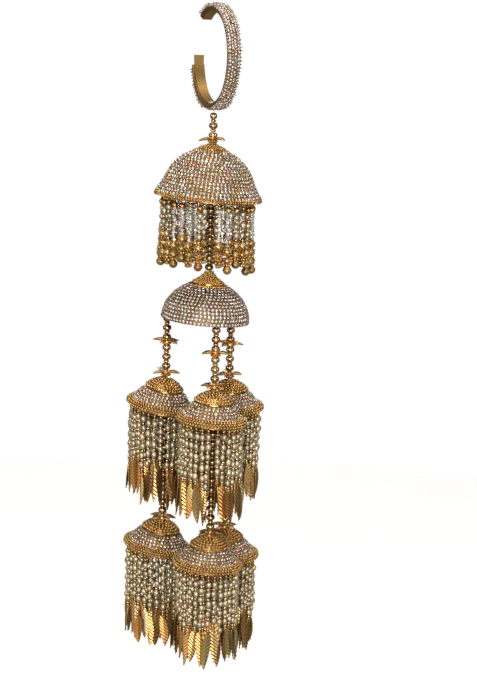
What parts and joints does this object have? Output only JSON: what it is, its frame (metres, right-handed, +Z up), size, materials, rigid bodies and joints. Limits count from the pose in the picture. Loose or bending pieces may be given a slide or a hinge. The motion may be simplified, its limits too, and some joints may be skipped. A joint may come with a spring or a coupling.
{
  "type": "kalire bridal ornament",
  "caption": "Open stone-set ring for the wrist with a hanging drop: a beaded stem, a large bell with a pearl and ball fringe, a second bell, and strings of small bells with leaf fringes.",
  "frame": {"origin": "where the ring hangs: the top of its inner face, in the middle of its width", "axes": "+Z up along the hanging drop, +X along the axis of the ring, -Y towards the side of the ring that is closed"},
  "size_m": [0.092, 0.0857, 0.4369],
  "materials": {
    "plated_brass": "orange-gold plated sheet brass, polished, set with small glass stones",
    "bright_beads": "bright cut metal beads",
    "wire": "plain gold-coloured wire",
    "pearl_strings": "ivory imitation pearls with gold leaf and ball drops"
  },
  "bodies": {
    "ring": {"ring": "plated_brass"},
    "drop": {"stem_wire": "wire", "stem_beads_top": "bright_beads", "flower_top": "plated_brass", "large_cap": "plated_brass", "large_bell": "plated_brass", "large_fringe": "pearl_strings", "stem_beads_low": "bright_beads", "second_cap": "plated_brass", "second_bell": "plated_brass", "string_wire_a": "wire", "short_beads_a": "bright_beads", "flower_a1": "plated_brass", "flower_a2": "plated_brass", "mid_cap_a": "plated_brass", "mid_bell_a": "plated_brass", "mid_fringe_a": "pearl_strings", "long_beads_a": "bright_beads", "flower_a3": "plated_brass", "low_cap_a": "plated_brass", "low_bell_a": "plated_brass", "low_fringe_a": "pearl_strings", "string_wire_b": "wire", "short_beads_b": "bright_beads", "flower_b1": "plated_brass", "flower_b2": "plated_brass", "mid_cap_b": "plated_brass", "mid_bell_b": "plated_brass", "mid_fringe_b": "pearl_strings", "long_beads_b": "bright_beads", "flower_b3": "plated_brass", "low_cap_b": "plated_brass", "low_bell_b": "plated_brass", "low_fringe_b": "pearl_strings", "string_wire_c": "wire", "short_beads_c": "bright_beads", "flower_c1": "plated_brass", "flower_c2": "plated_brass", "mid_cap_c": "plated_brass", "mid_bell_c": "plated_brass", "mid_fringe_c": "pearl_strings", "long_beads_c": "bright_beads", "flower_c3": "plated_brass", "low_cap_c": "plated_brass", "low_bell_c": "plated_brass", "low_fringe_c": "pearl_strings"}
  },
  "joints": [
    {"name": "drop_swing", "type": "hinge", "parent": "ring", "child": "drop", "pos_m": [0, 0, -0.0615], "axis": [1, 0, 0], "range_deg": [-40, 40]}
  ]
}
